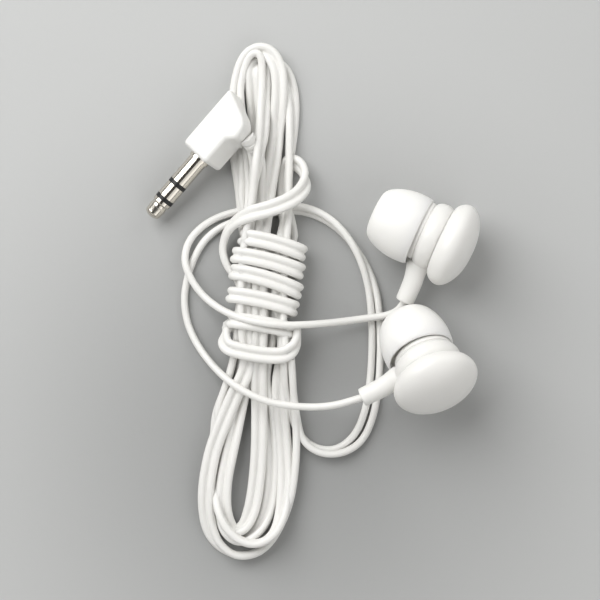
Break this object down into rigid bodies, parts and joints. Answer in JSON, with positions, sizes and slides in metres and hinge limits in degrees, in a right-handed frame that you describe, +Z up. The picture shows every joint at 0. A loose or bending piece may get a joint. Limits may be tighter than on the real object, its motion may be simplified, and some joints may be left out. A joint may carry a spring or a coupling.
{
  "type": "wired earphones",
  "caption": "White in-ear earphones with silicone tips on a thin twin cable, tied in a long hank, with a right-angle audio plug.",
  "frame": {"origin": "on the surface it lies on, midway between the two earbuds, measured without the cords and the plug", "axes": "+X from the hank towards the earbuds, +Y along the hank towards the plug, +Z up from the surface"},
  "size_m": [0.0596, 0.0937, 0.019],
  "materials": {
    "tip_silicone": "satin, slightly translucent white silicone",
    "shell_white": "glossy moulded white ABS",
    "relief_white": "satin white soft PVC",
    "plug_white": "fine matt moulded white PVC",
    "cord_white": "smooth off-white PVC jacket with a soft gloss",
    "plug_nickel": "turned and nickel-plated brass",
    "insulator_black": "black moulded insulator",
    "mesh_steel": "etched stainless mesh",
    "foam_grey": "open foam damper",
    "frame_plastic": "black glass-filled plastic",
    "film_clear": "thin PET film",
    "copper": "enamelled copper wire",
    "soft_iron": "zinc-plated soft iron",
    "magnet": "sintered and nickel-plated magnet",
    "board_green": "solder-masked circuit board",
    "felt_black": "thin damping felt"
  },
  "bodies": {
    "root": {"left_back_cover": "shell_white", "left_cable": "cord_white", "left_cable_knot": "cord_white", "left_damping_felt": "felt_black", "left_diaphragm_surround": "film_clear", "left_driver_frame": "frame_plastic", "left_front_housing": "shell_white", "left_magnet": "magnet", "left_nozzle_damper": "foam_grey", "left_nozzle_mesh": "mesh_steel", "left_pole_plate": "soft_iron", "left_strain_relief": "relief_white", "left_terminal_board": "board_green", "left_wire_tails": "copper", "left_yoke": "soft_iron", "main_cable_hank": "cord_white", "main_cable_lead": "cord_white", "plug_body": "plug_white", "plug_front_insulator": "insulator_black", "plug_rear_insulator": "insulator_black", "plug_ring_contact": "plug_nickel", "plug_sleeve_contact": "plug_nickel", "plug_strain_relief": "relief_white", "plug_tip_contact": "plug_nickel", "plug_wires": "copper", "right_back_cover": "shell_white", "right_cable": "cord_white", "right_cable_knot": "cord_white", "right_damping_felt": "felt_black", "right_diaphragm_surround": "film_clear", "right_driver_frame": "frame_plastic", "right_front_housing": "shell_white", "right_magnet": "magnet", "right_nozzle_damper": "foam_grey", "right_nozzle_mesh": "mesh_steel", "right_pole_plate": "soft_iron", "right_strain_relief": "relief_white", "right_terminal_board": "board_green", "right_wire_tails": "copper", "right_yoke": "soft_iron"},
    "left_ear_tip": {"left_ear_tip": "tip_silicone"},
    "right_ear_tip": {"right_ear_tip": "tip_silicone"},
    "left_diaphragm": {"left_diaphragm_dome": "film_clear", "left_voice_coil": "copper"},
    "right_diaphragm": {"right_diaphragm_dome": "film_clear", "right_voice_coil": "copper"}
  },
  "joints": [
    {"name": "left_tip_pull", "type": "slide", "parent": "root", "child": "left_ear_tip", "axis": [-0.8972, 0.422, -0.1306], "range_m": [0, 0.0058]},
    {"name": "right_tip_turn", "type": "hinge", "parent": "root", "child": "right_ear_tip", "pos_m": [-0.00239, -0.00288, 0.00343], "axis": [-0.3055, 0.76, -0.5736], "continuous": true},
    {"name": "left_diaphragm_stroke", "type": "slide", "parent": "root", "child": "left_diaphragm", "axis": [-0.8972, 0.422, -0.1306], "range_m": [-0.0002, 0.0002], "stiffness_N_per_m": 150},
    {"name": "right_diaphragm_stroke", "type": "slide", "parent": "root", "child": "right_diaphragm", "axis": [-0.3055, 0.76, -0.5736], "range_m": [-0.0002, 0.0002], "stiffness_N_per_m": 150}
  ]
}
